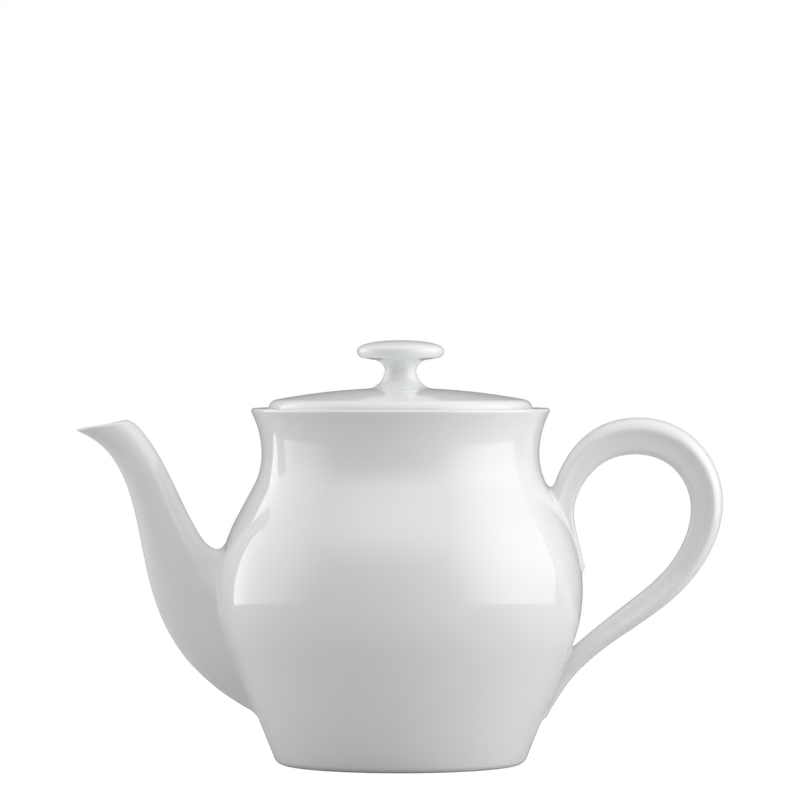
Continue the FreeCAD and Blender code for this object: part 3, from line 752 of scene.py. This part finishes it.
knob_base = CROWN_HEIGHT - KNOB_SINK
knob_outline = [(0.0, knob_base), (KNOB_FOOT - KNOB_SINK, knob_base)]
knob_outline += curve_through(STEM_FOOT + [(STEM_RADIUS, STEM_HEIGHT)], 6)
knob_outline += arc((STEM_RADIUS + cap_arc, STEM_HEIGHT), cap_arc, 180, 90, 16)[1:]
knob_outline += arc((KNOB_RADIUS - KNOB_EDGE, knob_middle), KNOB_EDGE, -90, 0, 14)
for r, z in arc((0.0, 0.0), 1.0, 0, 90, 32)[1:]:
    rise = KNOB_RISE * z ** KNOB_FULLNESS
    knob_outline.append((KNOB_RADIUS * r ** KNOB_FULLNESS, knob_middle + rise))
knob = turned("lid_knob_piece", knob_outline, KNOB_STEPS)
finish_piece(knob, "lid", "lid_knob")

# The studio: a small round table in a white room, with a feathered soft box on each side, one in
# front and one above. The camera sees the table and the room as white, with the pot's shadow.
TABLE_RADIUS = 0.55
TABLE_GAP = 0.0001
TABLE_SIDES = 96
TABLE_WHITE = 0.55
TABLE_SEEN = 0.85
LIGHT_REACH = 1.3
LIGHT_AIM = 0.07
CAMERA_PLACE = (0.0, -1.8, 0.150)
CAMERA_AIM = (-0.00018, 0.0, 0.1309)
CAMERA_LENS = 225.0
CAMERA_SENSOR = 36.0
ROOM_GLOW = 0.24
ROOM_SEEN = 1.0
scene = bpy.context.scene
scene.view_settings.view_transform = "Standard"


def seen_level(tree, socket, plain, seen):
    """Give a strength one level for the camera and a plain one for everything else."""
    rays = tree.nodes.new("ShaderNodeLightPath")
    level = tree.nodes.new("ShaderNodeMapRange")
    level.inputs["To Min"].default_value = plain
    level.inputs["To Max"].default_value = seen
    tree.links.new(rays.outputs["Is Camera Ray"], level.inputs["Value"])
    tree.links.new(level.outputs["Result"], socket)


def table_paper():
    """Matt white paper that the camera sees as white and the pot as pale grey."""
    material = bpy.data.materials.new("table_paper")
    material.use_nodes = True
    matt = material.node_tree.nodes["Principled BSDF"]
    matt.inputs["Base Color"].default_value = (TABLE_WHITE, TABLE_WHITE, TABLE_WHITE, 1.0)
    matt.inputs["Roughness"].default_value = 0.9
    matt.inputs["Specular IOR Level"].default_value = 0.0
    matt.inputs["Emission Color"].default_value = (1.0, 1.0, 1.0, 1.0)
    seen_level(material.node_tree, matt.inputs["Emission Strength"], 0.0, TABLE_SEEN)
    return material


table_edge = [(TABLE_RADIUS * math.cos(a), TABLE_RADIUS * math.sin(a), -TABLE_GAP)
              for a in np.linspace(0, 2 * math.pi, TABLE_SIDES, endpoint=False)]
table = mesh_piece("table", table_edge, [tuple(range(TABLE_SIDES))])
table.data.materials.append(table_paper())

world = bpy.data.worlds.new("white_room")
scene.world = world
world.use_nodes = True
room = world.node_tree.nodes["Background"]
room.inputs["Color"].default_value = (1.0, 1.0, 1.0, 1.0)
seen_level(world.node_tree, room.inputs["Strength"], ROOM_GLOW, ROOM_SEEN)


def soft_box(name, azimuth, elevation, width, height, strength, across, upward):
    """A light panel that faces the pot, graded across and upward and unseen by the camera."""
    panel = mesh_piece(name, [(-1, -1, 0), (1, -1, 0), (1, 1, 0), (-1, 1, 0)], [(0, 1, 2, 3)])
    turn, lift = math.radians(azimuth), math.radians(elevation)
    out = LIGHT_REACH * math.cos(lift)
    place = Vector((out * math.sin(turn), -out * math.cos(turn), LIGHT_AIM + LIGHT_REACH * math.sin(lift)))
    panel.location = place
    panel.scale = (width / 2, height / 2, 1)
    aim = Vector((0, 0, LIGHT_AIM)) - place
    panel.rotation_euler = aim.to_track_quat("Z", "Y").to_euler()
    material = bpy.data.materials.new(name)
    material.use_nodes = True
    nodes, links = material.node_tree.nodes, material.node_tree.links
    nodes.remove(nodes["Principled BSDF"])
    coords = nodes.new("ShaderNodeTexCoord")
    places = nodes.new("ShaderNodeSeparateXYZ")
    links.new(coords.outputs["Generated"], places.inputs["Vector"])
    both = nodes.new("ShaderNodeMath")
    both.operation = "MULTIPLY"
    for slot, (axis, levels) in enumerate((("X", across), ("Y", upward))):
        grade = nodes.new("ShaderNodeValToRGB")
        grade.color_ramp.interpolation = "EASE"
        grade.color_ramp.elements.new(0.5)
        for stop, level in zip(grade.color_ramp.elements, levels):
            stop.color = (level, level, level, 1.0)
        links.new(places.outputs[axis], grade.inputs["Fac"])
        links.new(grade.outputs["Color"], both.inputs[slot])
    power = nodes.new("ShaderNodeMath")
    power.operation = "MULTIPLY"
    power.inputs[1].default_value = strength
    cloth = nodes.new("ShaderNodeEmission")
    links.new(both.outputs["Value"], power.inputs[0])
    links.new(power.outputs["Value"], cloth.inputs["Strength"])
    unseen = nodes.new("ShaderNodeBsdfTransparent")
    rays = nodes.new("ShaderNodeLightPath")
    sight = nodes.new("ShaderNodeMixShader")
    links.new(rays.outputs["Is Camera Ray"], sight.inputs["Fac"])
    links.new(cloth.outputs["Emission"], sight.inputs[1])
    links.new(unseen.outputs["BSDF"], sight.inputs[2])
    links.new(sight.outputs["Shader"], nodes["Material Output"].inputs["Surface"])
    panel.data.materials.append(material)


soft_box("left_box", azimuth=-88, elevation=14, width=2.4, height=2.4, strength=2.7,
         across=(0.0, 0.65, 1.0), upward=(1.0, 1.0, 0.3))
soft_box("right_box", azimuth=70, elevation=18, width=2.6, height=2.6, strength=2.65,
         across=(0.6, 1.0, 0.0), upward=(1.0, 1.0, 0.1))
soft_box("front_box", azimuth=-10, elevation=50, width=3.2, height=1.8, strength=1.55,
         across=(0.0, 1.0, 0.0), upward=(0.0, 1.0, 0.0))
soft_box("top_box", azimuth=0, elevation=89, width=1.6, height=1.6, strength=1.1,
         across=(1.0, 1.0, 1.0), upward=(1.0, 1.0, 1.0))

lens = bpy.data.cameras.new("camera")
lens.lens = CAMERA_LENS
lens.sensor_width = CAMERA_SENSOR
camera = bpy.data.objects.new("camera", lens)
camera.location = CAMERA_PLACE
camera.rotation_euler = (Vector(CAMERA_AIM) - Vector(CAMERA_PLACE)).to_track_quat("-Z", "Y").to_euler()
scene.collection.objects.link(camera)
scene.camera = camera
